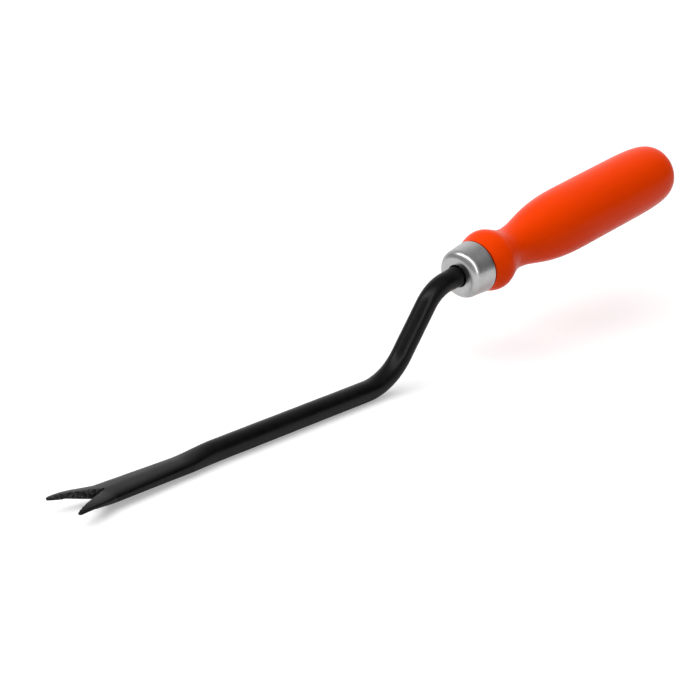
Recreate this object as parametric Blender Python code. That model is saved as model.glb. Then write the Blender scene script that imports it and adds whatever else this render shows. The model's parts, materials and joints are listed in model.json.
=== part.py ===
"""Hand weeder: a forged fork-tipped shank, a pressed steel ferrule and a turned wooden handle.

Units are metres.  +X runs along the straight shank towards the handle, +Z is up, and the tool is
symmetric about the XZ plane.  The origin is under the middle of the tool, on the plane that the
straight shank lies on.
"""
import math

import bmesh
import bpy
from mathutils import Vector

# ---------------------------------------------------------------- driving dimensions
FIT_GAP = 0.0003

# The shank is one round bar with a swan-neck crank.  Its path starts where the lower bend starts.
BAR_RADIUS = 0.004
LOWER_BEND_RADIUS = 0.0256
CRANK_ANGLE = math.radians(50.6)
CRANK_STRAIGHT = 0.0210
UPPER_BEND_RADIUS = 0.0177
HANDLE_TILT = math.radians(7.2)
BEND_TO_FERRULE = 0.0063

# The fork, as distances back from the start of the lower bend.
FORK_TIP = -0.1434
FORK_NOSE = -0.1375
NOTCH_APEX = -0.1258
BLADE_START = -0.0930
ROUND_END = -0.0760
BLADE_HALF_WIDTH = 0.0049
NOTCH_HALF_WIDTH = 0.0064
TIP_HALF_WIDTH = 0.0091
TIP_RADIUS = 0.0009
TIP_STEPS = (12, 40, 65)
BLADE_TOP = 0.0019
BLADE_BOTTOM = -0.0031
ROOT_BOTTOM = -0.0021
NOSE_TOP = 0.0025
NOSE_BOTTOM = 0.0002
TIP_HEIGHT = 0.0011
TIP_HALF_THICKNESS = 0.0004
ROUND = 2.0
BLADE_SQUARENESS = 3.0
PRONG_FLARE = 1.6
NOTCH_HALF_ANGLE = math.radians(23.0)
NOTCH_APEX_RADIUS = 0.0005
NOTCH_REACH = 0.030
NOTCH_HEIGHT = 0.024

# The tang runs on inside the handle and is forged down from round to a blunt square taper.
TANG_ROUND_LENGTH = 0.0160
TANG_LENGTH = 0.0720
TANG_END_HALF_WIDTH = 0.0020
TANG_SQUARENESS = 6.0
TANG_SQUARE_BY = 0.33

# The ferrule, as distances along the handle's axis from its rear rim.
FERRULE_LENGTH = 0.0109
FERRULE_FRONT_RADIUS = 0.0098
FERRULE_RIM_RADIUS = 0.0104
FERRULE_SHOULDER = 0.0034
FERRULE_WALL = 0.0010
FERRULE_LIP = 0.0005
RIM_CHAMFER = 0.0003

# The handle, as distances along its axis from the ferrule's rear rim, and radii.
HANDLE_LENGTH = 0.1190
SHOULDER_RADIUS = 0.0104
BEAD_AT = 0.0075
BEAD_RADIUS = 0.0121
NECK_AT = 0.0207
NECK_RADIUS = 0.0085
GRIP_AT = 0.0578
GRIP_RADIUS = 0.0134
BUTT_AT = 0.0804

# How far each curve of the handle's outline runs straight on before it turns.
SHOULDER_RISE = (0.0032, 0.0112)
BEAD_FRONT_PULL = 0.0025
BEAD_REAR_PULL = 0.0039
NECK_FRONT_PULL = 0.0064
NECK_REAR_PULL = 0.0100
GRIP_PULL = 0.0225
BUTT_FLATNESS = 0.0012
BUTT_FULLNESS = 0.0138

BAR_SEGMENTS = 28
TURNED_SEGMENTS = 44

# ---------------------------------------------------------------- materials: colour, roughness, metallic
LACQUER = ("orange_lacquer", (0.80, 0.075, 0.008), 0.28, 0.0)
PLATE = ("plated_steel", (0.48, 0.48, 0.49), 0.30, 1.0)
BLACK_COAT = ("black_coat", (0.018, 0.018, 0.019), 0.42, 0.0)


def clear_scene():
    for item in list(bpy.data.objects):
        bpy.data.objects.remove(item, do_unlink=True)


def make_material(name, colour, roughness, metallic):
    material = bpy.data.materials.new(name)
    material.use_nodes = True
    shader = material.node_tree.nodes["Principled BSDF"]
    shader.inputs["Base Color"].default_value = (*colour, 1.0)
    shader.inputs["Roughness"].default_value = roughness
    shader.inputs["Metallic"].default_value = metallic
    return material


def smooth_step(value, start, end):
    """0 at start, 1 at end, with no slope at either."""
    t = min(max((value - start) / (end - start), 0.0), 1.0)
    return t * t * (3.0 - 2.0 * t)


def blend(a, b, t):
    return a + (b - a) * t


def bezier(start, start_pull, end_pull, end, count):
    """Points along a cubic curve, without its first point."""
    points = []
    for i in range(1, count + 1):
        t = i / count
        weights = ((1 - t) ** 3, 3 * t * (1 - t) ** 2, 3 * t * t * (1 - t), t ** 3)
        corners = (start, start_pull, end_pull, end)
        points.append(tuple(sum(w * c[k] for w, c in zip(weights, corners)) for k in (0, 1)))
    return points


def arc(centre, radius, start, end, count):
    """Points along an arc from the start angle to the end angle."""
    angles = [blend(start, end, i / count) for i in range(count + 1)]
    return [(centre[0] + radius * math.cos(a), centre[1] + radius * math.sin(a)) for a in angles]


def mesh_object(name, bm, material, sharp_angle=math.radians(35)):
    bmesh.ops.remove_doubles(bm, verts=bm.verts, dist=1e-6)
    bmesh.ops.recalc_face_normals(bm, faces=bm.faces)
    mesh = bpy.data.meshes.new(name)
    bm.to_mesh(mesh)
    bm.free()
    mesh.shade_smooth()
    mesh.set_sharp_from_angle(angle=sharp_angle)
    piece = bpy.data.objects.new(name, mesh)
    piece.data.materials.append(material)
    bpy.context.scene.collection.objects.link(piece)
    return piece


def turned(name, profile, closed, material):
    """A profile of (distance along X, radius) points spun round the X axis."""
    bm = bmesh.new()
    verts = [bm.verts.new((x, 0.0, r)) for x, r in profile]
    edges = [bm.edges.new(pair) for pair in zip(verts, verts[1:])]
    if closed:
        edges.append(bm.edges.new((verts[-1], verts[0])))
    bmesh.ops.spin(
        bm,
        geom=verts + edges,
        cent=(0, 0, 0),
        axis=(1, 0, 0),
        angle=2 * math.pi,
        steps=TURNED_SEGMENTS,
        use_merge=True,
    )
    return mesh_object(name, bm, material)


# ---------------------------------------------------------------- shank
def path_lengths():
    """Lengths along the path where each of its stretches ends."""
    lower_end = LOWER_BEND_RADIUS * CRANK_ANGLE
    crank_end = lower_end + CRANK_STRAIGHT
    upper_end = crank_end + UPPER_BEND_RADIUS * (CRANK_ANGLE - HANDLE_TILT)
    return lower_end, crank_end, upper_end


def path_at(s):
    """The bar's centre line at length s: its place in the XZ plane and its slope angle."""
    lower_end, crank_end, upper_end = path_lengths()
    if s <= 0.0:
        return Vector((s, 0.0, 0.0)), 0.0
    angle = min(s, lower_end) / LOWER_BEND_RADIUS
    place = Vector((math.sin(angle), 0.0, 1.0 - math.cos(angle))) * LOWER_BEND_RADIUS
    place += along(CRANK_ANGLE) * min(max(s - lower_end, 0.0), CRANK_STRAIGHT)
    if s > crank_end:
        start = angle
        angle -= (min(s, upper_end) - crank_end) / UPPER_BEND_RADIUS
        turn = Vector((math.sin(start) - math.sin(angle), 0.0, math.cos(angle) - math.cos(start)))
        place += turn * UPPER_BEND_RADIUS
    place += along(angle) * max(s - upper_end, 0.0)
    return place, angle


def along(angle):
    return Vector((math.cos(angle), 0.0, math.sin(angle)))


def rim_length():
    """Length along the path at the ferrule's rear rim, where the handle's distances start."""
    return path_lengths()[2] + BEND_TO_FERRULE + FERRULE_LENGTH


def blade_half_width(x):
    width = blend(BAR_RADIUS, BLADE_HALF_WIDTH, smooth_step(x, ROUND_END, BLADE_START))
    if x < BLADE_START:
        width = blend(BLADE_HALF_WIDTH, NOTCH_HALF_WIDTH, (x - BLADE_START) / (NOTCH_APEX - BLADE_START))
    if x < NOTCH_APEX:
        t = min((x - NOTCH_APEX) / (FORK_TIP + TIP_RADIUS - NOTCH_APEX), 1.0)
        width = blend(NOTCH_HALF_WIDTH, TIP_HALF_WIDTH, 1.0 - (1.0 - t) ** PRONG_FLARE)
    past = max(FORK_TIP + TIP_RADIUS - x, 0.0)
    return width - TIP_RADIUS + math.sqrt(max(TIP_RADIUS ** 2 - past ** 2, 0.0))


def nose_fullness(x):
    """1 behind the prongs' noses, falling round a quarter ellipse to 0 at the tips."""
    past = max(FORK_NOSE - x, 0.0) / (FORK_NOSE - FORK_TIP)
    return math.sqrt(max(1.0 - past ** 2, 0.0))


def blade_top(x):
    top = blend(BAR_RADIUS, BLADE_TOP, smooth_step(x, ROUND_END, BLADE_START))
    if x < NOTCH_APEX:
        top = blend(BLADE_TOP, NOSE_TOP, smooth_step(x, NOTCH_APEX, FORK_NOSE))
    return blend(TIP_HEIGHT + TIP_HALF_THICKNESS, top, nose_fullness(x))


def blade_bottom(x):
    bottom = blend(-BAR_RADIUS, BLADE_BOTTOM, smooth_step(x, ROUND_END, BLADE_START))
    if x < BLADE_START:
        bottom = blend(BLADE_BOTTOM, ROOT_BOTTOM, (x - BLADE_START) / (NOTCH_APEX - BLADE_START))
    if x < NOTCH_APEX:
        t = min((x - NOTCH_APEX) / (FORK_NOSE - NOTCH_APEX), 1.0)
        bottom = blend(ROOT_BOTTOM, NOSE_BOTTOM, t)
    return blend(TIP_HEIGHT - TIP_HALF_THICKNESS, bottom, nose_fullness(x))


def bar_section(s):
    """Half width, top, bottom and squareness of the bar's section at length s."""
    if s < ROUND_END:
        squareness = blend(ROUND, BLADE_SQUARENESS, smooth_step(s, ROUND_END, BLADE_START))
        return blade_half_width(s), blade_top(s), blade_bottom(s), squareness
    t = (s - rim_length() - TANG_ROUND_LENGTH) / (TANG_LENGTH - TANG_ROUND_LENGTH)
    t = min(max(t, 0.0), 1.0)
    half = blend(BAR_RADIUS, TANG_END_HALF_WIDTH, t)
    squareness = blend(ROUND, TANG_SQUARENESS, min(t / TANG_SQUARE_BY, 1.0))
    return half, half, -half, squareness


def section_ring(bm, s, grow):
    """A ring of vertices round the bar at length s, grown outwards by a clearance."""
    place, angle = path_at(s)
    half, top, bottom, squareness = bar_section(s)
    up = Vector((-math.sin(angle), 0.0, math.cos(angle)))
    middle = (top + bottom) / 2.0
    rise = (top - bottom) / 2.0 + grow
    ring = []
    for i in range(BAR_SEGMENTS):
        turn = 2.0 * math.pi * i / BAR_SEGMENTS
        c, d = math.cos(turn), math.sin(turn)
        across = math.copysign(abs(c) ** (2.0 / squareness), c) * (half + grow)
        height = middle + math.copysign(abs(d) ** (2.0 / squareness), d) * rise
        ring.append(bm.verts.new(place + up * height + Vector((0.0, across, 0.0))))
    return ring


def lofted_bar(name, lengths, grow, material):
    bm = bmesh.new()
    rings = [section_ring(bm, s, grow) for s in lengths]
    for first, second in zip(rings, rings[1:]):
        for i in range(BAR_SEGMENTS):
            j = (i + 1) % BAR_SEGMENTS
            bm.faces.new((first[i], first[j], second[j], second[i]))
    bm.faces.new(rings[0])
    bm.faces.new(rings[-1])
    return mesh_object(name, bm, material)


def spread(start, end, count):
    return [blend(start, end, i / count) for i in range(count)]


def shank_lengths():
    lower_end, crank_end, upper_end = path_lengths()
    tip = [FORK_TIP + TIP_RADIUS * (1.0 - math.cos(math.radians(a))) for a in TIP_STEPS]
    nose = spread(FORK_TIP + TIP_RADIUS, FORK_NOSE, 5)
    prong = spread(FORK_NOSE, NOTCH_APEX, 4)
    blade = spread(NOTCH_APEX, BLADE_START, 7) + spread(BLADE_START, ROUND_END, 9)
    straight = spread(ROUND_END, 0.0, 2)
    crank = spread(0.0, lower_end, 10) + spread(lower_end, crank_end, 2) + spread(crank_end, upper_end, 9)
    return tip + nose + prong + blade + straight + crank + [upper_end]


def tang_lengths(start, end):
    """Lengths from start to end that follow the tang's change from round to square."""
    rim = rim_length()
    changing = spread(rim + TANG_ROUND_LENGTH, rim + TANG_LENGTH, 9)
    return [start] + changing + [end]


def notch_cutter(material):
    """The V between the two prongs, as an upright prism with a rounded apex."""
    half = math.pi / 2.0 - NOTCH_HALF_ANGLE
    centre = (NOTCH_APEX - NOTCH_APEX_RADIUS, 0.0)
    outline = arc(centre, NOTCH_APEX_RADIUS, -half, half, 5)
    mouth = outline[-1][0] - NOTCH_REACH
    half_mouth = outline[-1][1] + NOTCH_REACH * math.tan(NOTCH_HALF_ANGLE)
    outline += [(mouth, half_mouth), (mouth, -half_mouth)]
    bm = bmesh.new()
    base = bm.faces.new([bm.verts.new((x, y, -NOTCH_HEIGHT / 2.0)) for x, y in outline])
    grown = bmesh.ops.extrude_face_region(bm, geom=[base])
    lifted = [item for item in grown["geom"] if isinstance(item, bmesh.types.BMVert)]
    bmesh.ops.translate(bm, verts=lifted, vec=(0.0, 0.0, NOTCH_HEIGHT))
    return mesh_object("notch_cutter", bm, material)


def cut(piece, cutter):
    cutter.hide_render = True
    cutter.display_type = "WIRE"
    boolean = piece.modifiers.new(cutter.name, "BOOLEAN")
    boolean.operation = "DIFFERENCE"
    boolean.solver = "EXACT"
    boolean.object = cutter


def make_shank(material):
    rim = rim_length()
    shank = lofted_bar("shank", shank_lengths() + tang_lengths(rim, rim + TANG_LENGTH), 0.0, material)
    cutter = notch_cutter(material)
    cutter.parent = shank
    cut(shank, cutter)
    return shank


# ---------------------------------------------------------------- ferrule
def ferrule_profile():
    """The cap's outside from its hole to its rim, then its inside back to the hole."""
    front = -FERRULE_LENGTH
    hole = BAR_RADIUS + FIT_GAP
    lip = arc((front + FERRULE_LIP, hole + FERRULE_LIP), FERRULE_LIP, -math.pi / 2, -math.pi, 4)
    shoulder_centre = (front + FERRULE_SHOULDER, FERRULE_FRONT_RADIUS - FERRULE_SHOULDER)
    shoulder = arc(shoulder_centre, FERRULE_SHOULDER, math.pi, math.pi / 2, 7)
    inside_radius = FERRULE_SHOULDER - FERRULE_WALL
    inside = arc(shoulder_centre, inside_radius, math.pi / 2, math.pi, 5)
    rim = [(-RIM_CHAMFER, FERRULE_RIM_RADIUS), (0.0, FERRULE_RIM_RADIUS - RIM_CHAMFER)]
    rim += [(0.0, FERRULE_RIM_RADIUS - FERRULE_WALL)]
    return lip + shoulder + rim + inside + [(front + FERRULE_WALL, hole)]


def make_ferrule(material):
    return turned("ferrule", ferrule_profile(), True, material)


# ---------------------------------------------------------------- handle
def spigot_profile():
    """The turned-down front of the handle that fills the ferrule, from the axis outwards."""
    skin = FERRULE_WALL + FIT_GAP
    centre = (-FERRULE_LENGTH + FERRULE_SHOULDER, FERRULE_FRONT_RADIUS - FERRULE_SHOULDER)
    corner = arc(centre, FERRULE_SHOULDER - skin, math.pi, math.pi / 2, 4)
    return [(corner[0][0], 0.0)] + corner + [(FIT_GAP, FERRULE_RIM_RADIUS - skin)]


def handle_profile():
    shoulder = (FIT_GAP, SHOULDER_RADIUS - RIM_CHAMFER)
    shoulder_edge = (FIT_GAP + RIM_CHAMFER, SHOULDER_RADIUS)
    bead = (BEAD_AT, BEAD_RADIUS)
    neck = (NECK_AT, NECK_RADIUS)
    grip = (GRIP_AT, GRIP_RADIUS)
    butt = (BUTT_AT, GRIP_RADIUS)
    end = (HANDLE_LENGTH, 0.0)
    profile = spigot_profile() + [shoulder, shoulder_edge]
    before_bead = (BEAD_AT - BEAD_FRONT_PULL, BEAD_RADIUS)
    after_bead = (BEAD_AT + BEAD_REAR_PULL, BEAD_RADIUS)
    before_neck = (NECK_AT - NECK_FRONT_PULL, NECK_RADIUS)
    after_neck = (NECK_AT + NECK_REAR_PULL, NECK_RADIUS)
    before_grip = (GRIP_AT - GRIP_PULL, GRIP_RADIUS)
    profile += bezier(shoulder_edge, SHOULDER_RISE, before_bead, bead, 5)
    profile += bezier(bead, after_bead, before_neck, neck, 8)
    profile += bezier(neck, after_neck, before_grip, grip, 10)
    profile.append(butt)
    profile += bezier(butt, (HANDLE_LENGTH - BUTT_FLATNESS, GRIP_RADIUS), (HANDLE_LENGTH, BUTT_FULLNESS), end, 16)
    return profile


def make_handle(material):
    handle = turned("handle", handle_profile(), False, material)
    rim = rim_length()
    mouth = rim - FERRULE_LENGTH
    floor = rim + TANG_LENGTH + FIT_GAP
    cutter = lofted_bar("tang_bore_cutter", tang_lengths(mouth, floor), FIT_GAP, material)
    return handle, cutter


# ---------------------------------------------------------------- assembly
def handle_reach(rim_x):
    """The furthest point of the tilted handle along X."""
    tilt = along(HANDLE_TILT)
    return rim_x + max(x * tilt.x + r * tilt.z for x, r in handle_profile())


def build():
    clear_scene()
    lacquer = make_material(*LACQUER)
    plate = make_material(*PLATE)
    black = make_material(*BLACK_COAT)
    rim_place, _ = path_at(rim_length())
    middle = (FORK_TIP + handle_reach(rim_place.x)) / 2.0

    tool = bpy.data.objects.new("tool", None)
    handle_axis = bpy.data.objects.new("handle_axis", None)
    for empty in (tool, handle_axis):
        bpy.context.scene.collection.objects.link(empty)
    tool.location = (-middle, 0.0, BAR_RADIUS)
    handle_axis.parent = tool
    handle_axis.location = rim_place
    handle_axis.rotation_euler = (0.0, -HANDLE_TILT, 0.0)

    make_shank(black).parent = tool
    make_ferrule(plate).parent = handle_axis
    handle, bore_cutter = make_handle(lacquer)
    handle.parent = handle_axis
    bore_cutter.parent = tool
    cut(handle, bore_cutter)


build()
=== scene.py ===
"""Looks of the hand weeder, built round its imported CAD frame.

The fork-tipped shank, the ferrule and the handle are each rebuilt as one fine closed mesh in the
place that the frame gives, with procedural materials, a white floor and soft studio light.
Lengths are in metres, +X runs towards the handle and +Z is up.
"""
import json
import math

import bmesh
import bpy
from mathutils import Matrix, Vector, noise


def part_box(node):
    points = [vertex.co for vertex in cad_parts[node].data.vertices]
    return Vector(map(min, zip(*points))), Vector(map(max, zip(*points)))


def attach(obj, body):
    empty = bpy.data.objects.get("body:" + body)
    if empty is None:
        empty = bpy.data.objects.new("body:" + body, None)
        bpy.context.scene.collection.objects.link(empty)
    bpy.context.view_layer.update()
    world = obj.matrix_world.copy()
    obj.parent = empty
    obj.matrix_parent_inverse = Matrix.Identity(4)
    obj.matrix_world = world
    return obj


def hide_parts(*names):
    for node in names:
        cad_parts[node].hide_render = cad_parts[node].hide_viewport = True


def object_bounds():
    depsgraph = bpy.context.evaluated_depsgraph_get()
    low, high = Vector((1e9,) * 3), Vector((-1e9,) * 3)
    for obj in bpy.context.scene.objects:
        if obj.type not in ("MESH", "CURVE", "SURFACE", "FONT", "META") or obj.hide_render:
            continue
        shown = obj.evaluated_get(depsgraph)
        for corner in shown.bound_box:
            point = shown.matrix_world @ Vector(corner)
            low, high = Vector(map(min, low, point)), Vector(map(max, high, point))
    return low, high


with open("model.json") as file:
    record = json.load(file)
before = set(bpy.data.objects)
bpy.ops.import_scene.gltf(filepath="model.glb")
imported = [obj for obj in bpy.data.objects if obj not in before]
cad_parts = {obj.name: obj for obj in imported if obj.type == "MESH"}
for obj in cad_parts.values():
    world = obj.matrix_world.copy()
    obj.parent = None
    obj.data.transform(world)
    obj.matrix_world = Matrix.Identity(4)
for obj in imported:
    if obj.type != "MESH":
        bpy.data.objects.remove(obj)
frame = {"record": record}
cad_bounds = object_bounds()
shank_low, shank_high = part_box("shank")
_, handle_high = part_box("handle")
seat = next(mount for mount in frame["record"]["mounts"] if mount["name"] == "ferrule_seat")

# ---------------------------------------------------------------- sizes
FIT_GAP = 0.0003

# The bar and its path, which starts where the lower bend starts.
BAR_RADIUS = 0.004
FORK_LENGTH = 0.1434
LOWER_BEND_RADIUS = 0.0256
CRANK_ANGLE = math.radians(50.6)
CRANK_STRAIGHT = 0.0210
UPPER_BEND_RADIUS = 0.0177
HANDLE_TILT = math.atan2(-seat["axis"][2], -seat["axis"][0])
BEND_TO_FERRULE = 0.0063
PATH_START = Vector((shank_low.x + FORK_LENGTH, 0.0, shank_low.z + BAR_RADIUS))

# The fork, as distances back from the start of the lower bend.
FORK_TIP = -FORK_LENGTH
FORK_NOSE = -0.1375
NOTCH_APEX = -0.1258
BLADE_START = -0.0930
ROUND_END = -0.0760
BLADE_HALF_WIDTH = 0.0049
NOTCH_HALF_WIDTH = 0.0064
TIP_HALF_WIDTH = shank_high.y
TIP_RADIUS = 0.0009
BLADE_TOP = 0.0019
BLADE_BOTTOM = -0.0031
ROOT_BOTTOM = -0.0021
NOSE_TOP = 0.0025
NOSE_BOTTOM = 0.0002
TIP_HEIGHT = 0.0011
TIP_HALF_THICKNESS = 0.0004
ROUND = 2.0
BLADE_SQUARENESS = 3.0
PRONG_FLARE = 1.6
NOTCH_HALF_ANGLE = math.radians(23.0)
NOTCH_APEX_RADIUS = 0.0005
NOTCH_EDGE_RADIUS = 0.00030
NOTCH_EDGE_REACH = 4.0 * NOTCH_APEX_RADIUS
EDGE_SHARE = 0.3
TIP_SLIVER = 0.00006

# How the forged surfaces wander from their ideal shape: heights, and the sizes of the lumps.
FORGED_WAVE = 0.00004
FORGED_WAVE_SIZE = 0.007
RIDGE_HEIGHT = 0.00022
RIDGE_WIDTH = 0.0046
SHEAR_ROUGHNESS = 0.00045
SHEAR_GRAIN = 0.00062
SHEAR_COARSE_SHARE = 0.65
SHEAR_FINE_SHARE = 0.45
SHEAR_FINE_GRAIN = 0.45
SHEAR_FINE_SHIFT = Vector((7.0, 3.0, 1.0))
SCALE_ROUGHNESS = 0.00016
SCALE_GRAIN = 0.0011
SCALE_STRETCH = 3.0
SCALE_REACH = 0.0100

# The tang, as lengths past the ferrule's rear rim. It is fully square after a share of its taper.
TANG_ROUND_LENGTH = 0.0160
TANG_LENGTH = 0.0720
TANG_END_HALF_WIDTH = 0.0020
TANG_SQUARENESS = 6.0
TANG_SQUARE_BY = 0.33

# How many times wider than deep each side of the bore's drill point is.
DRILL_POINT = 3.0

# The ferrule, as distances along the handle's axis from its rear rim.
FERRULE_LENGTH = 0.0109
FERRULE_FRONT_RADIUS = 0.0098
FERRULE_RIM_RADIUS = 0.0104
FERRULE_SHOULDER = 0.0034
FERRULE_WALL = 0.0010
FERRULE_LIP = 0.0005
RIM_CHAMFER = 0.0003

# The handle, as distances along its axis from the ferrule's rear rim, and radii.
HANDLE_LENGTH = 0.1190
SHOULDER_RADIUS = 0.0104
CORNER_RADIUS = 0.0008
BEAD_AT = 0.0075
BEAD_RADIUS = 0.0121
NECK_AT = 0.0207
NECK_RADIUS = 0.0085
GRIP_AT = 0.0578
GRIP_RADIUS = handle_high.y
BUTT_AT = 0.0804

# How far each curve of the handle's outline runs straight on before it turns.
SHOULDER_RISE = (0.0032, 0.0112)
BEAD_FRONT_PULL = 0.0025
BEAD_REAR_PULL = 0.0039
NECK_FRONT_PULL = 0.0064
NECK_REAR_PULL = 0.0100
GRIP_PULL = 0.0225
BUTT_FLATNESS = 0.0012
BUTT_FULLNESS = 0.0138

# ---------------------------------------------------------------- mesh fineness
HALF_RING_STEPS = 34
WALL_POINTS = 22
EDGE_POINTS = 4

# Distances that count as none, the angle that shades as an edge, and the torn walls' material.
SAME_PLACE = 1e-6
WELD_DISTANCE = 1e-7
SHARP_ANGLE = math.radians(50)
TORN_SLOT = 1

# Stations along the bar, stretch by stretch.
BLADE_STEPS = 44
SHOULDER_STEPS = 26
STRAIGHT_STEPS = 40
LOWER_BEND_STEPS = 28
CRANK_STEPS = 14
UPPER_BEND_STEPS = 26
TANG_STEPS = 18
TAPER_STEPS = 24

# Stations along the prongs: depths past the apex, in apex radii, then steps, then turns in degrees.
APEX_DEPTHS = (0.03, 0.10, 0.22, 0.40, 0.61, 0.9, 1.3)
PRONG_DEPTH = 1.8
PRONG_STEPS = 40
NOSE_STEPS = 18
TIP_TURNS = (0, 15, 30, 44, 56, 67, 76, 83, 88)

# Steps round the turned pieces and along their outlines.
TURNED_STEPS = 160
LIP_STEPS = 8
FERRULE_SHOULDER_STEPS = 24
BARREL_STEPS = 8
RIM_STEPS = 5
INSIDE_STEPS = 8
CORNER_STEPS = 6
BEAD_STEPS = 20
NECK_STEPS = 30
GRIP_STEPS = 44
FLAT_STEPS = 12
BUTT_STEPS = 64

# ---------------------------------------------------------------- colours and finishes
COAT_DARK = (0.0012, 0.0012, 0.0013)
COAT_LIGHT = (0.0030, 0.0030, 0.0032)
COAT_SHINE = 0.18
TORN_COAT_LIGHT = (0.0400, 0.0400, 0.0406)
TORN_COAT_SHINE = 0.30
STEEL_DARK = (0.53, 0.53, 0.535)
STEEL_LIGHT = (0.59, 0.59, 0.595)
ORANGE_DEEP = (0.71, 0.039, 0.0)
ORANGE_LIGHT = (0.76, 0.044, 0.0)
LACQUER_SHINE = 0.06
LACQUER_TINT = (1.0, 0.55, 0.22)
FLOOR_COLOUR = (0.66, 0.66, 0.66)

# Where a mix node keeps its factor, its two colours and its result.
MIX_FACTOR = 0
MIX_FIRST = 6
MIX_SECOND = 7
MIX_RESULT = 2

# Painted shade: the lacquer's colour is darkened where it runs in under the ferrule's rim, within this
# reach.
SEAM_PAINTED_SHADE = (0.10, 0.004, 0.0)
SEAM_REACH = 0.0018
SEAM_SAMPLES = 16

# ---------------------------------------------------------------- camera, floor and lights
CAMERA_AZIMUTH = math.radians(46.67)
CAMERA_ELEVATION = math.radians(20.44)
CAMERA_ROLL = math.radians(0.10)
CAMERA_DISTANCE = 0.7655
CAMERA_LENS = 106.5
CAMERA_SENSOR = 36.0
CAMERA_CLIP = 0.01
CAMERA_AIM = PATH_START + Vector((-0.00005, 0.00788, 0.01442))

# The room is brighter towards the backdrop and dimmer towards one dark side. The two spans are
# cosines of the angle from each direction.
ROOM_LIGHT = 0.31
BACKDROP_DIRECTION = (0.70, 0.70, 0.10)
BACKDROP_LIGHT = 0.90
BACKDROP_SPAN = (0.45, 0.95)
SHADE_DIRECTION = (0.80, -0.54, 0.26)
SHADE_KEPT = 0.22
SHADE_SPAN = (0.85, 0.96)

# The floor glows a little to the camera, so that it is white without brighter bounced light.
FLOOR_LIFT = 0.36
FLOOR_REACH = 6.0
FLOOR_DROP = 0.0002

# Each light's place, the point it faces, its width and length, and its power in watts.
FILL_PLACE = (-0.3, 0.48, 2.0)
FILL_AIM = (0.0, 0.1, 0.0)
FILL_SIZE = (3.0, 3.0)
FILL_POWER = 44.0
TOP_STRIP_PLACE = (-0.45, -0.10, 1.2)
TOP_STRIP_AIM = (0.0, 0.0, 0.03)
TOP_STRIP_SIZE = (2.6, 0.28)
TOP_STRIP_POWER = 11.0
SIDE_STRIP_PLACE = (-0.35, -1.55, 0.68)
SIDE_STRIP_AIM = (0.0, 0.0, 0.04)
SIDE_STRIP_SIZE = (0.26, 1.2)
SIDE_STRIP_POWER = 5.2


def smooth_step(value, start, end):
    """0 at start, 1 at end, with no slope at either."""
    t = min(max((value - start) / (end - start), 0.0), 1.0)
    return t * t * (3.0 - 2.0 * t)


def blend(a, b, t):
    return a + (b - a) * t


def spread(start, end, count):
    """Evenly spaced values from start up to, but not including, end."""
    return [blend(start, end, i / count) for i in range(count)]


def bezier(start, start_pull, end_pull, end, count):
    """Points along a cubic curve, without its first point."""
    points = []
    for i in range(1, count + 1):
        t = i / count
        weights = ((1 - t) ** 3, 3 * t * (1 - t) ** 2, 3 * t * t * (1 - t), t ** 3)
        corners = (start, start_pull, end_pull, end)
        points.append(tuple(sum(w * c[k] for w, c in zip(weights, corners)) for k in (0, 1)))
    return points


def arc(centre, radius, start, end, count):
    """Points along an arc from the start angle to the end angle."""
    angles = [blend(start, end, i / count) for i in range(count + 1)]
    return [(centre[0] + radius * math.cos(a), centre[1] + radius * math.sin(a)) for a in angles]


def signed_power(value, power):
    return math.copysign(abs(value) ** power, value)


# ---------------------------------------------------------------- the bar's path
def along(angle):
    return Vector((math.cos(angle), 0.0, math.sin(angle)))


def path_lengths():
    """Lengths along the path where each of its stretches ends."""
    lower_end = LOWER_BEND_RADIUS * CRANK_ANGLE
    crank_end = lower_end + CRANK_STRAIGHT
    upper_end = crank_end + UPPER_BEND_RADIUS * (CRANK_ANGLE - HANDLE_TILT)
    return lower_end, crank_end, upper_end


def path_at(s):
    """The bar's centre line at length s: its place from the path's start and its slope angle."""
    lower_end, crank_end, upper_end = path_lengths()
    if s <= 0.0:
        return Vector((s, 0.0, 0.0)), 0.0
    angle = min(s, lower_end) / LOWER_BEND_RADIUS
    place = Vector((math.sin(angle), 0.0, 1.0 - math.cos(angle))) * LOWER_BEND_RADIUS
    place += along(CRANK_ANGLE) * min(max(s - lower_end, 0.0), CRANK_STRAIGHT)
    if s > crank_end:
        start = angle
        angle -= (min(s, upper_end) - crank_end) / UPPER_BEND_RADIUS
        turn = Vector((math.sin(start) - math.sin(angle), 0.0, math.cos(angle) - math.cos(start)))
        place += turn * UPPER_BEND_RADIUS
    place += along(angle) * max(s - upper_end, 0.0)
    return place, angle


def rim_length():
    """Length along the path at the ferrule's rear rim, where the handle's distances start."""
    return path_lengths()[2] + BEND_TO_FERRULE + FERRULE_LENGTH


# ---------------------------------------------------------------- the bar's section
def tip_rounding(x):
    """0 behind the prongs' tips, rising round a quarter circle to 1 at their very ends."""
    past = max(FORK_TIP + TIP_RADIUS - x, 0.0) / TIP_RADIUS
    return 1.0 - math.sqrt(max(1.0 - past ** 2, 0.0))


def nose_fullness(x):
    """1 behind the prongs' noses, falling round a quarter ellipse to 0 at the tips."""
    past = max(FORK_NOSE - x, 0.0) / (FORK_NOSE - FORK_TIP)
    return math.sqrt(max(1.0 - past ** 2, 0.0))


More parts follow.
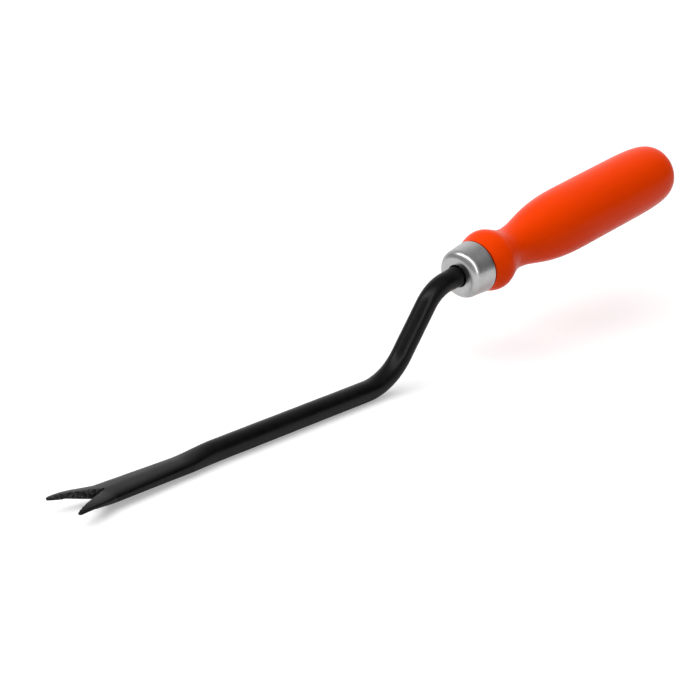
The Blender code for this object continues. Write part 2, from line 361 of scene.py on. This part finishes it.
def blade_half_width(x):
    width = blend(BAR_RADIUS, BLADE_HALF_WIDTH, smooth_step(x, ROUND_END, BLADE_START))
    if x < BLADE_START:
        t = (x - BLADE_START) / (NOTCH_APEX - BLADE_START)
        width = blend(BLADE_HALF_WIDTH, NOTCH_HALF_WIDTH, t)
    if x < NOTCH_APEX:
        t = min((x - NOTCH_APEX) / (FORK_TIP + TIP_RADIUS - NOTCH_APEX), 1.0)
        width = blend(NOTCH_HALF_WIDTH, TIP_HALF_WIDTH, 1.0 - (1.0 - t) ** PRONG_FLARE)
    return width - TIP_RADIUS * tip_rounding(x)


def notch_half_width(x):
    """Half the gap between the prongs: a rounded apex, straight sides and rounded-off tips."""
    depth = NOTCH_APEX - x
    slope = math.tan(NOTCH_HALF_ANGLE)
    arc_depth = NOTCH_APEX_RADIUS * (1.0 - math.sin(NOTCH_HALF_ANGLE))
    if depth < arc_depth:
        return math.sqrt(max(NOTCH_APEX_RADIUS ** 2 - (NOTCH_APEX_RADIUS - depth) ** 2, 0.0))
    arc_gap = NOTCH_APEX_RADIUS * math.cos(NOTCH_HALF_ANGLE)
    straight = arc_gap + (depth - arc_depth) * slope
    end_gap = arc_gap + (NOTCH_APEX - FORK_TIP - arc_depth) * slope
    close_up = TIP_HALF_WIDTH - TIP_RADIUS - TIP_SLIVER - end_gap
    return straight + close_up * tip_rounding(x)


def blade_top(x):
    top = blend(BAR_RADIUS, BLADE_TOP, smooth_step(x, ROUND_END, BLADE_START))
    if x < NOTCH_APEX:
        top = blend(BLADE_TOP, NOSE_TOP, smooth_step(x, NOTCH_APEX, FORK_NOSE))
    return blend(TIP_HEIGHT + TIP_HALF_THICKNESS, top, nose_fullness(x))


def blade_bottom(x):
    bottom = blend(-BAR_RADIUS, BLADE_BOTTOM, smooth_step(x, ROUND_END, BLADE_START))
    if x < BLADE_START:
        bottom = blend(BLADE_BOTTOM, ROOT_BOTTOM, (x - BLADE_START) / (NOTCH_APEX - BLADE_START))
    if x < NOTCH_APEX:
        t = min((x - NOTCH_APEX) / (FORK_NOSE - NOTCH_APEX), 1.0)
        bottom = blend(ROOT_BOTTOM, NOSE_BOTTOM, t)
    return blend(TIP_HEIGHT - TIP_HALF_THICKNESS, bottom, nose_fullness(x))


def bar_section(s):
    """Half width, top, bottom and squareness of the bar's section at length s."""
    if s < ROUND_END:
        squareness = blend(ROUND, BLADE_SQUARENESS, smooth_step(s, ROUND_END, BLADE_START))
        return blade_half_width(s), blade_top(s), blade_bottom(s), squareness
    t = (s - rim_length() - TANG_ROUND_LENGTH) / (TANG_LENGTH - TANG_ROUND_LENGTH)
    t = min(max(t, 0.0), 1.0)
    half = blend(BAR_RADIUS, TANG_END_HALF_WIDTH, t)
    squareness = blend(ROUND, TANG_SQUARENESS, min(t / TANG_SQUARE_BY, 1.0))
    return half, half, -half, squareness


def half_section(s, inner):
    """Points (across, height) up one side of the section, leaving out all that is nearer than inner."""
    half, top, bottom, squareness = bar_section(s)
    middle = (top + bottom) / 2.0
    rise = (top - bottom) / 2.0
    widest = math.acos(min((max(inner, 0.0) / half) ** (squareness / 2.0), 1.0))
    points = []
    for i in range(HALF_RING_STEPS + 1):
        turn = blend(-widest, widest, i / HALF_RING_STEPS)
        across = signed_power(math.cos(turn), 2.0 / squareness) * half
        height = middle + signed_power(math.sin(turn), 2.0 / squareness) * rise
        points.append((across, height))
    return points


def wall_section(top_edge, bottom_edge, wall, edge):
    """Points down the notch's wall, between the two edges that the outer skin ends on."""
    turns = [math.pi / 2.0 * i / EDGE_POINTS for i in range(1, EDGE_POINTS + 1)]
    upper = []
    for turn in turns:
        drop = edge * (1.0 - math.cos(turn))
        upper.append((top_edge[0] - edge * math.sin(turn), top_edge[1] - drop))
    lower = []
    for turn in reversed(turns):
        rise = edge * (1.0 - math.cos(turn))
        lower.append((bottom_edge[0] - edge * math.sin(turn), bottom_edge[1] + rise))
    between = WALL_POINTS - 2 * EDGE_POINTS
    high, low = upper[-1][1], lower[0][1]
    middle = [(wall, blend(high, low, (i + 1) / (between + 1))) for i in range(between)]
    return upper + middle + lower


# ---------------------------------------------------------------- forged surface
def forged_offset(point, s):
    """How far the forged skin stands off its ideal shape."""
    wave = noise.noise(point / FORGED_WAVE_SIZE) * FORGED_WAVE
    near_tip = smooth_step(s, NOTCH_APEX + SCALE_REACH / 2.0, NOTCH_APEX - SCALE_REACH)
    side = smooth_step(abs(point.y), BLADE_HALF_WIDTH, TIP_HALF_WIDTH)
    stretched = Vector((point.x / SCALE_STRETCH, point.y, point.z)) / SCALE_GRAIN
    return wave + noise.noise(stretched) * SCALE_ROUGHNESS * near_tip * side


def ridge_lift(s, across):
    """The low crease that the forging leaves down the middle of the blade's top."""
    near = max(1.0 - across / RIDGE_WIDTH, 0.0)
    fade_in = smooth_step(s, ROUND_END, BLADE_START)
    fade_out = smooth_step(s, FORK_NOSE, NOTCH_APEX)
    return RIDGE_HEIGHT * near * near * fade_in * fade_out


def shear_offset(point):
    """The torn grain of the notch's sheared walls."""
    coarse = noise.noise(point / SHEAR_GRAIN)
    fine = noise.noise(point / (SHEAR_GRAIN * SHEAR_FINE_GRAIN) + SHEAR_FINE_SHIFT)
    return (coarse * SHEAR_COARSE_SHARE + fine * SHEAR_FINE_SHARE) * SHEAR_ROUGHNESS


# ---------------------------------------------------------------- the shank
def place_on_path(s, across, height):
    place, angle = path_at(s)
    up = Vector((-math.sin(angle), 0.0, math.cos(angle)))
    return PATH_START + place + up * height + Vector((0.0, across, 0.0))


def skin_vertex(bm, s, across, height, side):
    """A vertex of the outer skin, moved out or in by the forging's unevenness."""
    _, top, bottom, _ = bar_section(s)
    middle = (top + bottom) / 2.0
    point = place_on_path(s, side * across, height)
    outward = point - place_on_path(s, 0.0, middle)
    if outward.length > SAME_PLACE:
        point += outward.normalized() * forged_offset(point, s)
    if height > middle:
        point.z += ridge_lift(s, across)
    return bm.verts.new(point)


def wall_vertex(bm, s, across, height, side, depth):
    point = place_on_path(s, side * across, height)
    point.y += side * shear_offset(point) * depth
    return bm.verts.new(point)


def bridge(bm, first, second, material_index=0):
    for a, b, c, d in zip(first, first[1:], second[1:], second):
        bm.faces.new((a, b, c, d)).material_index = material_index


def bar_lengths():
    """Stations from the notch's apex back to the end of the tang."""
    lower_end, crank_end, upper_end = path_lengths()
    rim = rim_length()
    blade = spread(NOTCH_APEX, BLADE_START, BLADE_STEPS)
    shoulder = spread(BLADE_START, ROUND_END, SHOULDER_STEPS)
    straight = spread(ROUND_END, 0.0, STRAIGHT_STEPS)
    lower_bend = spread(0.0, lower_end, LOWER_BEND_STEPS)
    crank = spread(lower_end, crank_end, CRANK_STEPS)
    upper_bend = spread(crank_end, upper_end, UPPER_BEND_STEPS)
    tang = spread(upper_end, rim + TANG_ROUND_LENGTH, TANG_STEPS)
    taper = spread(rim + TANG_ROUND_LENGTH, rim + TANG_LENGTH, TAPER_STEPS)
    bar = straight + lower_bend + crank + upper_bend
    return blade + shoulder + bar + tang + taper + [rim + TANG_LENGTH]


def prong_lengths():
    """Stations from just past the notch's apex out to the prongs' tips."""
    close = [NOTCH_APEX - NOTCH_APEX_RADIUS * depth for depth in APEX_DEPTHS]
    prong = spread(NOTCH_APEX - NOTCH_APEX_RADIUS * PRONG_DEPTH, FORK_NOSE, PRONG_STEPS)
    nose = spread(FORK_NOSE, FORK_TIP + TIP_RADIUS, NOSE_STEPS)
    turns = [math.radians(degrees) for degrees in TIP_TURNS]
    tip = [FORK_TIP + TIP_RADIUS * (1.0 - math.sin(turn)) for turn in turns]
    return close + prong + nose + tip


def full_ring(bm, s):
    """A ring round the bar, as two halves from bottom to top that share their end vertices."""
    points = half_section(s, 0.0)
    bottom = skin_vertex(bm, s, 0.0, points[0][1], 1)
    top = skin_vertex(bm, s, 0.0, points[-1][1], 1)
    right = [skin_vertex(bm, s, y, z, 1) for y, z in points[1:-1]]
    left = [skin_vertex(bm, s, y, z, -1) for y, z in points[1:-1]]
    return [bottom] + right + [top], [bottom] + left + [top]


def prong_ring(bm, s, side):
    """The outer skin and the notch wall of one prong at length s."""
    edge = NOTCH_EDGE_RADIUS * smooth_step(NOTCH_APEX - s, 0.0, NOTCH_EDGE_REACH)
    wall = notch_half_width(s)
    half = blade_half_width(s)
    edge = min(edge, (half - wall) * EDGE_SHARE)
    points = half_section(s, wall + edge)
    edge = min(edge, (points[-1][1] - points[0][1]) * EDGE_SHARE)
    depth = smooth_step(half - wall, 0.0, TIP_RADIUS)
    skin = [skin_vertex(bm, s, y, z, side) for y, z in points]
    column = wall_section(points[-1], points[0], wall, edge)
    return skin, [wall_vertex(bm, s, y, z, side, depth) for y, z in column]


def apex_column(bm, top, bottom):
    """Vertices down the notch's apex, shared by both prongs."""
    steps = [(i + 1) / (WALL_POINTS + 1) for i in range(WALL_POINTS)]
    return [bm.verts.new(top.co.lerp(bottom.co, t)) for t in steps]


def make_shank(material, torn_material):
    bm = bmesh.new()
    rings = [full_ring(bm, s) for s in bar_lengths()]
    for first, second in zip(rings, rings[1:]):
        for side in (0, 1):
            bridge(bm, first[side], second[side])
    right, left = rings[-1]
    bm.faces.new(right + left[-2:0:-1])
    column = apex_column(bm, rings[0][0][-1], rings[0][0][0])
    for side, start in zip((1, -1), rings[0]):
        skin, wall = start, column
        for s in prong_lengths():
            next_skin, next_wall = prong_ring(bm, s, side)
            bridge(bm, skin, next_skin)
            torn = [skin[-1]] + wall + [skin[0]]
            next_torn = [next_skin[-1]] + next_wall + [next_skin[0]]
            bridge(bm, torn, next_torn, TORN_SLOT)
            skin, wall = next_skin, next_wall
        bm.faces.new(skin + wall)
    shank = finished_mesh("forged_shank", bm, material, "shank")
    shank.data.materials.append(torn_material)


# ---------------------------------------------------------------- turned pieces
def finished_mesh(name, bm, material, node):
    """A smooth-shaded piece that rides on the tool and stands for one CAD node."""
    bmesh.ops.remove_doubles(bm, verts=bm.verts, dist=WELD_DISTANCE)
    bmesh.ops.recalc_face_normals(bm, faces=bm.faces)
    mesh = bpy.data.meshes.new(name)
    bm.to_mesh(mesh)
    bm.free()
    mesh.shade_smooth()
    mesh.set_sharp_from_angle(angle=SHARP_ANGLE)
    piece = bpy.data.objects.new(name, mesh)
    piece.data.materials.append(material)
    bpy.context.scene.collection.objects.link(piece)
    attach(piece, "root")
    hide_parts(node)
    return piece


def turned(name, profile, closed, material, node):
    """A profile of (distance, radius) points spun round the handle's axis, from the ferrule's rim."""
    bm = bmesh.new()
    verts = [bm.verts.new((x, 0.0, r)) for x, r in profile]
    edges = [bm.edges.new(pair) for pair in zip(verts, verts[1:])]
    if closed:
        edges.append(bm.edges.new((verts[-1], verts[0])))
    bmesh.ops.spin(
        bm,
        geom=verts + edges,
        cent=(0, 0, 0),
        axis=(1, 0, 0),
        angle=2 * math.pi,
        steps=TURNED_STEPS,
        use_merge=True,
    )
    rim_place, _ = path_at(rim_length())
    place = Matrix.Translation(PATH_START + rim_place) @ Matrix.Rotation(-HANDLE_TILT, 4, "Y")
    bmesh.ops.transform(bm, matrix=place, verts=bm.verts)
    return finished_mesh(name, bm, material, node)


def make_ferrule(material):
    """The cap's outside from its hole to its rim, then its inside back to the hole."""
    front = -FERRULE_LENGTH
    hole = BAR_RADIUS + FIT_GAP
    lip_centre = (front + FERRULE_LIP, hole + FERRULE_LIP)
    lip = arc(lip_centre, FERRULE_LIP, -math.pi / 2, -math.pi, LIP_STEPS)
    shoulder_centre = (front + FERRULE_SHOULDER, FERRULE_FRONT_RADIUS - FERRULE_SHOULDER)
    shoulder = arc(shoulder_centre, FERRULE_SHOULDER, math.pi, math.pi / 2, FERRULE_SHOULDER_STEPS)
    start_at, start_radius = shoulder[-1]
    barrel = []
    for i in range(1, BARREL_STEPS):
        t = i / BARREL_STEPS
        barrel.append((blend(start_at, -RIM_CHAMFER, t), blend(start_radius, FERRULE_RIM_RADIUS, t)))
    rim_centre = (-RIM_CHAMFER, FERRULE_RIM_RADIUS - RIM_CHAMFER)
    rim = arc(rim_centre, RIM_CHAMFER, math.pi / 2, 0.0, RIM_STEPS)
    rim += [(0.0, FERRULE_RIM_RADIUS - FERRULE_WALL)]
    inside = arc(shoulder_centre, FERRULE_SHOULDER - FERRULE_WALL, math.pi / 2, math.pi, INSIDE_STEPS)
    back = [(front + FERRULE_WALL, hole)]
    profile = lip + shoulder + barrel + rim + inside + back
    return turned("pressed_ferrule", profile, True, material, "ferrule")


def bore_profile():
    """The blind bore from its floor on the axis out to the spigot's front, clear of the tang."""
    mouth = -FERRULE_LENGTH + FERRULE_WALL + FIT_GAP
    reach_at_corners = math.sqrt(2.0) ** (1.0 - 2.0 / TANG_SQUARENESS)
    radius = BAR_RADIUS * reach_at_corners + FIT_GAP
    floor = TANG_LENGTH + 2.0 * FIT_GAP
    return [(floor + radius / DRILL_POINT, 0.0), (floor, radius), (mouth, radius)]


def handle_profile():
    """The handle from its spigot, over the bead, neck and grip, to the butt."""
    skin = FERRULE_WALL + FIT_GAP
    centre = (-FERRULE_LENGTH + FERRULE_SHOULDER, FERRULE_FRONT_RADIUS - FERRULE_SHOULDER)
    spigot = arc(centre, FERRULE_SHOULDER - skin, math.pi, math.pi / 2, CORNER_STEPS)
    spigot.append((FIT_GAP, FERRULE_RIM_RADIUS - skin))
    corner = (FIT_GAP + CORNER_RADIUS, SHOULDER_RADIUS - CORNER_RADIUS)
    shoulder = arc(corner, CORNER_RADIUS, math.pi, math.pi / 2, CORNER_STEPS)
    bead = (BEAD_AT, BEAD_RADIUS)
    neck = (NECK_AT, NECK_RADIUS)
    grip = (GRIP_AT, GRIP_RADIUS)
    butt = (BUTT_AT, GRIP_RADIUS)
    end = (HANDLE_LENGTH, 0.0)
    profile = spigot + shoulder
    before_bead = (BEAD_AT - BEAD_FRONT_PULL, BEAD_RADIUS)
    after_bead = (BEAD_AT + BEAD_REAR_PULL, BEAD_RADIUS)
    before_neck = (NECK_AT - NECK_FRONT_PULL, NECK_RADIUS)
    after_neck = (NECK_AT + NECK_REAR_PULL, NECK_RADIUS)
    before_grip = (GRIP_AT - GRIP_PULL, GRIP_RADIUS)
    after_butt = (HANDLE_LENGTH - BUTT_FLATNESS, GRIP_RADIUS)
    before_end = (HANDLE_LENGTH, BUTT_FULLNESS)
    profile += bezier(shoulder[-1], SHOULDER_RISE, before_bead, bead, BEAD_STEPS)
    profile += bezier(bead, after_bead, before_neck, neck, NECK_STEPS)
    profile += bezier(neck, after_neck, before_grip, grip, GRIP_STEPS)
    profile += [(x, GRIP_RADIUS) for x in spread(GRIP_AT, BUTT_AT, FLAT_STEPS)[1:]]
    profile.append(butt)
    profile += bezier(butt, after_butt, before_end, end, BUTT_STEPS)
    return profile


def make_handle(material):
    profile = bore_profile() + handle_profile()
    return turned("turned_handle", profile, False, material, "handle")


# ---------------------------------------------------------------- materials
def new_material(name):
    """A new Principled material, with its node tree and its shader."""
    material = bpy.data.materials.new(name)
    material.use_nodes = True
    tree = material.node_tree
    return material, tree, tree.nodes["Principled BSDF"]


def add_noise(tree, scale, detail, stretch=(1.0, 1.0, 1.0)):
    """A noise texture in object space, in lumps per metre, stretched along the axes."""
    place = tree.nodes.new("ShaderNodeTexCoord")
    mapping = tree.nodes.new("ShaderNodeMapping")
    mapping.inputs["Scale"].default_value = stretch
    texture = tree.nodes.new("ShaderNodeTexNoise")
    texture.inputs["Scale"].default_value = scale
    texture.inputs["Detail"].default_value = detail
    tree.links.new(place.outputs["Object"], mapping.inputs["Vector"])
    tree.links.new(mapping.outputs["Vector"], texture.inputs["Vector"])
    return texture.outputs["Fac"]


def add_range(tree, value, low, high, from_low=0.3, from_high=0.7):
    """Maps a value from one span to another. A noise value mostly lies in the span given here."""
    node = tree.nodes.new("ShaderNodeMapRange")
    node.inputs["From Min"].default_value = from_low
    node.inputs["From Max"].default_value = from_high
    node.inputs["To Min"].default_value = low
    node.inputs["To Max"].default_value = high
    tree.links.new(value, node.inputs["Value"])
    return node.outputs["Result"]


def add_mix(tree, factor, first, second):
    """Mixes two colours by a factor."""
    node = tree.nodes.new("ShaderNodeMix")
    node.data_type = "RGBA"
    node.inputs[MIX_FIRST].default_value = (*first, 1.0)
    node.inputs[MIX_SECOND].default_value = (*second, 1.0)
    tree.links.new(factor, node.inputs[MIX_FACTOR])
    return node.outputs[MIX_RESULT]


def add_painted_seam_shade(tree, colour, painted_shade_colour):
    """Paints shade into a colour where another surface stands close to it, as in the seam at the ferrule.
    """
    occlusion = tree.nodes.new("ShaderNodeAmbientOcclusion")
    occlusion.samples = SEAM_SAMPLES
    occlusion.inputs["Distance"].default_value = SEAM_REACH
    openness = add_range(tree, occlusion.outputs["AO"], low=0.0, high=1.0, from_low=0.60, from_high=0.97)
    node = tree.nodes.new("ShaderNodeMix")
    node.data_type = "RGBA"
    node.inputs[MIX_FIRST].default_value = (*painted_shade_colour, 1.0)
    tree.links.new(colour, node.inputs[MIX_SECOND])
    tree.links.new(openness, node.inputs[MIX_FACTOR])
    return node.outputs[MIX_RESULT]


def add_bump(tree, height, distance, after=None):
    """Tilts the surface as relief of this many metres would, on top of an earlier bump if given."""
    node = tree.nodes.new("ShaderNodeBump")
    node.inputs["Distance"].default_value = distance
    node.inputs["Strength"].default_value = 1.0
    tree.links.new(height, node.inputs["Height"])
    if after is not None:
        tree.links.new(after, node.inputs["Normal"])
    return node.outputs["Normal"]


def black_coat():
    material, tree, shader = new_material("black_coat")
    tone = add_range(tree, add_noise(tree, scale=180.0, detail=4.0), low=0.0, high=1.0)
    colour = add_mix(tree, tone, COAT_DARK, COAT_LIGHT)
    tree.links.new(colour, shader.inputs["Base Color"])
    shader.inputs["Specular IOR Level"].default_value = COAT_SHINE
    gloss = add_range(tree, add_noise(tree, scale=260.0, detail=5.0), low=0.25, high=0.36)
    tree.links.new(gloss, shader.inputs["Roughness"])
    peel = add_bump(tree, add_noise(tree, scale=1500.0, detail=2.0), distance=0.00002)
    tree.links.new(peel, shader.inputs["Normal"])
    return material


def torn_black_coat():
    """The black coat on the notch's sheared walls, which stay rough under it."""
    material, tree, shader = new_material("torn_black_coat")
    flecks = add_noise(tree, scale=800.0, detail=3.0)
    tone = add_range(tree, flecks, low=0.0, high=1.0, from_low=0.44, from_high=0.60)
    colour = add_mix(tree, tone, COAT_DARK, TORN_COAT_LIGHT)
    tree.links.new(colour, shader.inputs["Base Color"])
    shader.inputs["Specular IOR Level"].default_value = TORN_COAT_SHINE
    gloss = add_range(tree, add_noise(tree, scale=1200.0, detail=3.0), low=0.30, high=0.60)
    tree.links.new(gloss, shader.inputs["Roughness"])
    tear = add_bump(tree, add_noise(tree, scale=1100.0, detail=3.0), distance=0.00060)
    tree.links.new(tear, shader.inputs["Normal"])
    return material


def plated_steel():
    material, tree, shader = new_material("plated_steel")
    shader.inputs["Metallic"].default_value = 1.0
    tone = add_range(tree, add_noise(tree, scale=300.0, detail=3.0), low=0.0, high=1.0)
    colour = add_mix(tree, tone, STEEL_DARK, STEEL_LIGHT)
    tree.links.new(colour, shader.inputs["Base Color"])
    gloss = add_range(tree, add_noise(tree, scale=500.0, detail=4.0), low=0.27, high=0.33)
    tree.links.new(gloss, shader.inputs["Roughness"])
    peel = add_bump(tree, add_noise(tree, scale=900.0, detail=2.0), distance=0.000003)
    tree.links.new(peel, shader.inputs["Normal"])
    return material


def orange_lacquer():
    """Lacquer over turned wood, whose grain shows faintly along the handle."""
    material, tree, shader = new_material("orange_lacquer")
    clouds = add_noise(tree, scale=40.0, detail=3.0, stretch=(0.3, 1.0, 1.0))
    tone = add_range(tree, clouds, low=0.0, high=1.0)
    colour = add_mix(tree, tone, ORANGE_DEEP, ORANGE_LIGHT)
    # Painted shade in the seam at the ferrule's rim, darkening the lacquer's colour by occlusion.
    colour = add_painted_seam_shade(tree, colour, SEAM_PAINTED_SHADE)
    tree.links.new(colour, shader.inputs["Base Color"])
    shader.inputs["Specular IOR Level"].default_value = LACQUER_SHINE
    shader.inputs["Specular Tint"].default_value = (*LACQUER_TINT, 1.0)
    gloss = add_range(tree, add_noise(tree, scale=120.0, detail=3.0), low=0.21, high=0.27)
    tree.links.new(gloss, shader.inputs["Roughness"])
    streaks = add_noise(tree, scale=900.0, detail=3.0, stretch=(0.04, 1.0, 1.0))
    grain = add_bump(tree, streaks, distance=0.000012)
    peel = add_bump(tree, add_noise(tree, scale=700.0, detail=1.0), distance=0.00001, after=grain)
    tree.links.new(peel, shader.inputs["Normal"])
    return material


# ---------------------------------------------------------------- stage
def make_floor():
    mesh = bpy.data.meshes.new("floor")
    corners = [(x * FLOOR_REACH, y * FLOOR_REACH, 0) for x, y in ((-1, -1), (1, -1), (1, 1), (-1, 1))]
    mesh.from_pydata(corners, [], [(0, 1, 2, 3)])
    floor = bpy.data.objects.new("floor", mesh)
    bpy.context.scene.collection.objects.link(floor)
    material, tree, shader = new_material("floor_white")
    shader.inputs["Base Color"].default_value = (*FLOOR_COLOUR, 1.0)
    shader.inputs["Roughness"].default_value = 0.9
    shader.inputs["Specular IOR Level"].default_value = 0.0
    shader.inputs["Emission Color"].default_value = (1.0, 1.0, 1.0, 1.0)
    rays = tree.nodes.new("ShaderNodeLightPath")
    lift = add_range(
        tree,
        rays.outputs["Is Camera Ray"],
        low=0.0,
        high=FLOOR_LIFT,
        from_low=0.0,
        from_high=1.0,
    )
    tree.links.new(lift, shader.inputs["Emission Strength"])
    mesh.materials.append(material)
    floor.location.z = cad_bounds[0][2] - FLOOR_DROP


def add_area_light(name, place, aim, size, power):
    light = bpy.data.lights.new(name, "AREA")
    light.shape = "RECTANGLE"
    light.size, light.size_y = size
    light.energy = power
    lamp = bpy.data.objects.new(name, light)
    lamp.location = place
    lamp.rotation_euler = (Vector(aim) - Vector(place)).to_track_quat("-Z", "Y").to_euler()
    bpy.context.scene.collection.objects.link(lamp)
    return lamp


def add_facing(tree, direction):
    """The cosine of the angle between the way looked and a direction, for a world."""
    towards = tree.nodes.new("ShaderNodeTexCoord")
    facing = tree.nodes.new("ShaderNodeVectorMath")
    facing.operation = "DOT_PRODUCT"
    facing.inputs[1].default_value = direction
    tree.links.new(towards.outputs["Generated"], facing.inputs[0])
    return facing.outputs["Value"]


def make_room():
    """The white world round the tool, with its bright backdrop and its dark side."""
    world = bpy.data.worlds.new("studio")
    bpy.context.scene.world = world
    world.use_nodes = True
    tree = world.node_tree
    background = tree.nodes["Background"]
    background.inputs["Color"].default_value = (1.0, 1.0, 1.0, 1.0)
    glow = add_range(tree, add_facing(tree, BACKDROP_DIRECTION), ROOM_LIGHT, BACKDROP_LIGHT, *BACKDROP_SPAN)
    kept = add_range(tree, add_facing(tree, SHADE_DIRECTION), 1.0, SHADE_KEPT, *SHADE_SPAN)
    level = tree.nodes.new("ShaderNodeMath")
    level.operation = "MULTIPLY"
    tree.links.new(glow, level.inputs[0])
    tree.links.new(kept, level.inputs[1])
    tree.links.new(level.outputs["Value"], background.inputs["Strength"])


def make_lights():
    """The fill gives light but isn't mirrored, and the side strip is only mirrored."""
    fill = add_area_light("overhead_fill", FILL_PLACE, FILL_AIM, FILL_SIZE, FILL_POWER)
    fill.visible_glossy = False
    add_area_light("top_strip", TOP_STRIP_PLACE, TOP_STRIP_AIM, TOP_STRIP_SIZE, TOP_STRIP_POWER)
    side = add_area_light(
        "side_strip", SIDE_STRIP_PLACE, SIDE_STRIP_AIM, SIDE_STRIP_SIZE, SIDE_STRIP_POWER
    )
    side.visible_diffuse = False


def make_camera():
    forward = Vector((
        math.sin(CAMERA_AZIMUTH) * math.cos(CAMERA_ELEVATION),
        math.cos(CAMERA_AZIMUTH) * math.cos(CAMERA_ELEVATION),
        -math.sin(CAMERA_ELEVATION),
    ))
    camera = bpy.data.objects.new("camera", bpy.data.cameras.new("camera"))
    camera.data.sensor_width = CAMERA_SENSOR
    camera.data.lens = CAMERA_LENS
    camera.data.clip_start = CAMERA_CLIP
    camera.location = CAMERA_AIM - forward * CAMERA_DISTANCE
    turn = forward.to_track_quat("-Z", "Y").to_matrix() @ Matrix.Rotation(CAMERA_ROLL, 3, "Z")
    camera.rotation_euler = turn.to_euler()
    bpy.context.scene.collection.objects.link(camera)
    bpy.context.scene.camera = camera


make_shank(black_coat(), torn_black_coat())
make_ferrule(plated_steel())
make_handle(orange_lacquer())
make_floor()
make_lights()
make_room()
make_camera()
bpy.context.scene.view_settings.view_transform = "Standard"
